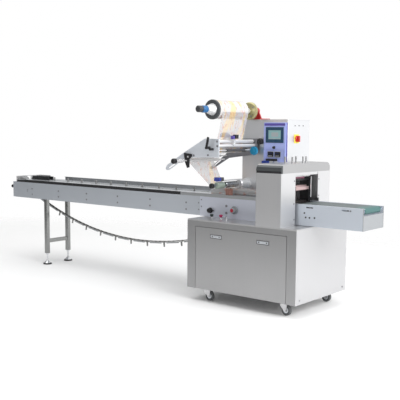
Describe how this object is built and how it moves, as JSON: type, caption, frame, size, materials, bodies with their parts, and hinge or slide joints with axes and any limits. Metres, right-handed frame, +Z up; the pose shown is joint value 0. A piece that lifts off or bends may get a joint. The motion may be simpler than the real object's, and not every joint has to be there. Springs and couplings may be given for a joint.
{
  "type": "horizontal flow wrapper",
  "caption": "Horizontal flow wrapping machine: lugged chain infeed, film unwind and former, rotary end-seal jaws and belt discharge on a steel cabinet.",
  "frame": {"origin": "middle of the machine's footprint, on the floor", "axes": "+X from the infeed to the discharge, +Y from the operator's side to the back, +Z up"},
  "size_m": [3.804, 0.987, 1.5],
  "materials": {
    "belt_green": "satin",
    "black_plastic": "matte",
    "blue_panel": "satin",
    "bright_steel": "polished",
    "chain_steel": "oiled",
    "film": "soft gloss",
    "guide_plastic": "matte",
    "jaw_steel": "heat tinted",
    "plate_grey": "satin",
    "red_paint": "satin",
    "red_plastic": "gloss",
    "rubber": "matte",
    "screen": "gloss",
    "stainless": "brushed",
    "yellow_disc": "satin"
  },
  "bodies": {
    "machine": {"cabinet_shell": "stainless", "front_panel": "stainless", "deck_plate": "stainless", "deck_spindles": "bright_steel", "main_side_plates": "plate_grey", "infeed_frame": "plate_grey", "chain_rail": "guide_plastic", "bed_strips": "plate_grey", "edge_strips": "black_plastic", "guide_rails": "stainless", "tail_guard": "stainless", "chain_wheels": "chain_steel", "pusher_chain": "chain_steel", "pusher_lugs": "chain_steel", "infeed_legs": "plate_grey", "leg_feet": "bright_steel", "column": "stainless", "hmi_panel": "blue_panel", "hmi_screen": "screen", "controllers": "black_plastic", "reel_bracket": "red_paint", "unwind_plate": "plate_grey", "unwind_rear_arm": "black_plastic", "stand_rods": "bright_steel", "stand_levers": "black_plastic", "photo_eye": "black_plastic", "film_web": "film", "former": "plate_grey", "film_tube": "film", "draw_bracket": "bright_steel", "housing": "stainless", "jaw_blocks": "black_plastic", "discharge_frame": "plate_grey", "discharge_belt": "belt_green"},
    "hood": {"hood": "stainless"},
    "upper_jaw": {"upper_jaw": "jaw_steel"},
    "lower_jaw": {"lower_jaw": "jaw_steel"},
    "reel": {"reel_shaft": "bright_steel", "reel_front": "black_plastic", "reel_rear_disc": "yellow_disc", "film_roll": "film"},
    "upper_idler": {"upper_idler": "bright_steel"},
    "nip_roller": {"nip_roller": "rubber"},
    "lower_roller_a": {"lower_roller_a": "bright_steel"},
    "lower_roller_b": {"lower_roller_b": "bright_steel"},
    "draw_shaft": {"draw_shaft": "bright_steel"},
    "main_switch": {"main_switch": "red_plastic"},
    "pointer_knob": {"pointer_knob": "black_plastic"},
    "dial_knob": {"dial_knob": "red_plastic"},
    "tension_knob": {"tension_knob": "black_plastic"},
    "fork_front_left": {"caster_fork_front_left": "bright_steel"},
    "wheel_front_left": {"caster_wheel_front_left": "rubber"},
    "fork_back_left": {"caster_fork_back_left": "bright_steel"},
    "wheel_back_left": {"caster_wheel_back_left": "rubber"},
    "fork_front_right": {"caster_fork_front_right": "bright_steel"},
    "wheel_front_right": {"caster_wheel_front_right": "rubber"},
    "fork_back_right": {"caster_fork_back_right": "bright_steel"},
    "wheel_back_right": {"caster_wheel_back_right": "rubber"}
  },
  "joints": [
    {"name": "hood_hinge", "type": "hinge", "parent": "machine", "child": "hood", "pos_m": [1.289, 0.3365, 0.999], "axis": [-1, 0, 0], "range_deg": [0, 80]},
    {"name": "upper_jaw_turn", "type": "hinge", "parent": "machine", "child": "upper_jaw", "pos_m": [1.289, 0.0265, 0.868], "axis": [0, 1, 0], "continuous": true},
    {"name": "lower_jaw_turn", "type": "hinge", "parent": "machine", "child": "lower_jaw", "pos_m": [1.289, 0.0265, 0.756], "axis": [0, 1, 0], "continuous": true},
    {"name": "reel_turn", "type": "hinge", "parent": "machine", "child": "reel", "pos_m": [0.789, 0.0265, 1.428], "axis": [0, 1, 0], "continuous": true},
    {"name": "upper_idler_turn", "type": "hinge", "parent": "machine", "child": "upper_idler", "pos_m": [0.818, -0.0785, 1.197], "axis": [0, 1, 0], "continuous": true},
    {"name": "nip_roller_turn", "type": "hinge", "parent": "machine", "child": "nip_roller", "pos_m": [0.786, -0.0785, 1.131], "axis": [0, 1, 0], "continuous": true},
    {"name": "lower_roller_a_turn", "type": "hinge", "parent": "machine", "child": "lower_roller_a", "pos_m": [0.537, -0.1085, 1.05], "axis": [0, 1, 0], "continuous": true},
    {"name": "lower_roller_b_turn", "type": "hinge", "parent": "machine", "child": "lower_roller_b", "pos_m": [0.555, -0.1085, 1.08], "axis": [0, 1, 0], "continuous": true},
    {"name": "draw_shaft_turn", "type": "hinge", "parent": "machine", "child": "draw_shaft", "pos_m": [0.748, -0.0285, 0.868], "axis": [0, 1, 0], "continuous": true},
    {"name": "main_switch_turn", "type": "hinge", "parent": "machine", "child": "main_switch", "pos_m": [1.112, 0.3015, 1.217], "axis": [1, 0, 0], "range_deg": [0, 90]},
    {"name": "pointer_knob_turn", "type": "hinge", "parent": "machine", "child": "pointer_knob", "pos_m": [0.615, -0.1235, 0.665], "axis": [0, -1, 0], "range_deg": [-150, 150]},
    {"name": "dial_knob_turn", "type": "hinge", "parent": "machine", "child": "dial_knob", "pos_m": [0.848, -0.1235, 0.683], "axis": [0, -1, 0], "continuous": true},
    {"name": "tension_knob_turn", "type": "hinge", "parent": "machine", "child": "tension_knob", "pos_m": [-1.871, -0.1105, 0.72], "axis": [1, 0, 0], "continuous": true},
    {"name": "swivel_front_left", "type": "hinge", "parent": "machine", "child": "fork_front_left", "pos_m": [0.7, -0.2545, 0.08], "axis": [0, 0, 1], "continuous": true},
    {"name": "roll_front_left", "type": "hinge", "parent": "fork_front_left", "child": "wheel_front_left", "pos_m": [0.724, -0.2545, 0.0375], "axis": [0, 1, 0], "continuous": true},
    {"name": "swivel_back_left", "type": "hinge", "parent": "machine", "child": "fork_back_left", "pos_m": [0.7, 0.2975, 0.08], "axis": [0, 0, 1], "continuous": true},
    {"name": "roll_back_left", "type": "hinge", "parent": "fork_back_left", "child": "wheel_back_left", "pos_m": [0.724, 0.2975, 0.0375], "axis": [0, 1, 0], "continuous": true},
    {"name": "swivel_front_right", "type": "hinge", "parent": "machine", "child": "fork_front_right", "pos_m": [1.38, -0.2545, 0.08], "axis": [0, 0, 1], "continuous": true},
    {"name": "roll_front_right", "type": "hinge", "parent": "fork_front_right", "child": "wheel_front_right", "pos_m": [1.404, -0.2545, 0.0375], "axis": [0, 1, 0], "continuous": true},
    {"name": "swivel_back_right", "type": "hinge", "parent": "machine", "child": "fork_back_right", "pos_m": [1.38, 0.2975, 0.08], "axis": [0, 0, 1], "continuous": true},
    {"name": "roll_back_right", "type": "hinge", "parent": "fork_back_right", "child": "wheel_back_right", "pos_m": [1.404, 0.2975, 0.0375], "axis": [0, 1, 0], "continuous": true}
  ],
  "couplings": [
    {"joint": "lower_jaw_turn", "follows": "upper_jaw_turn", "ratio": -1}
  ]
}
